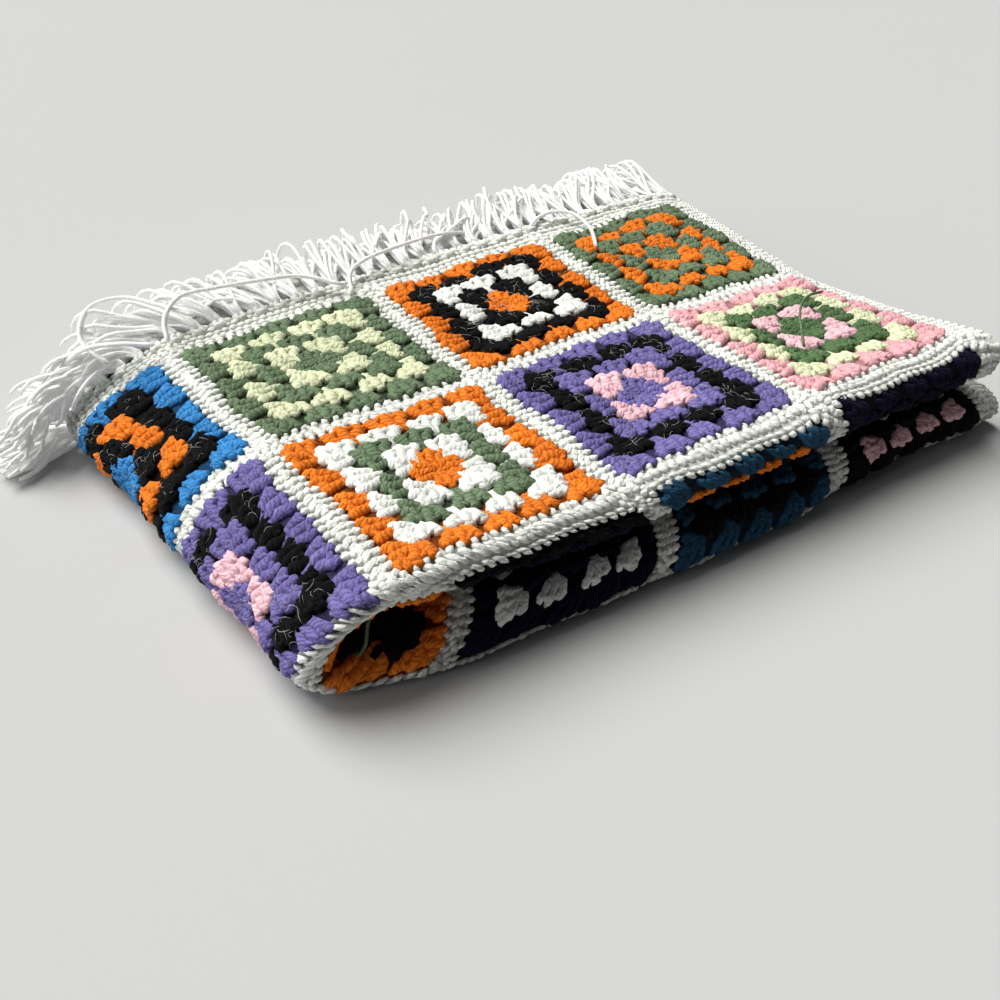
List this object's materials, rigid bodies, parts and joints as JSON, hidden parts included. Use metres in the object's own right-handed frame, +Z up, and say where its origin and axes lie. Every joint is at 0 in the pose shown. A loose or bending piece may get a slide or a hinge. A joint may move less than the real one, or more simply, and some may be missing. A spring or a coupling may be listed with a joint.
{
  "type": "granny square blanket",
  "caption": "Crocheted blanket of joined granny squares with a long white fringe on both ends, folded into a low, wide stack with its fold to the front and the fringe behind.",
  "frame": {"origin": "middle of the flat underside, on the plane the folded blanket rests on", "axes": "+Z up through the stack; +X along the folded blanket's long side, away from the round folded end; +Y from the folded front edge towards the fringed edges"},
  "size_m": [0.6191, 0.5008, 0.0851],
  "materials": {
    "joined_squares": "dull crocheted yarn in many colours, joined with white",
    "white_yarn": "dull twisted white yarn"
  },
  "bodies": {
    "root": {"blanket_cloth": "joined_squares", "fringe_outer_edge": "white_yarn", "fringe_second_edge": "white_yarn"}
  },
  "joints": []
}
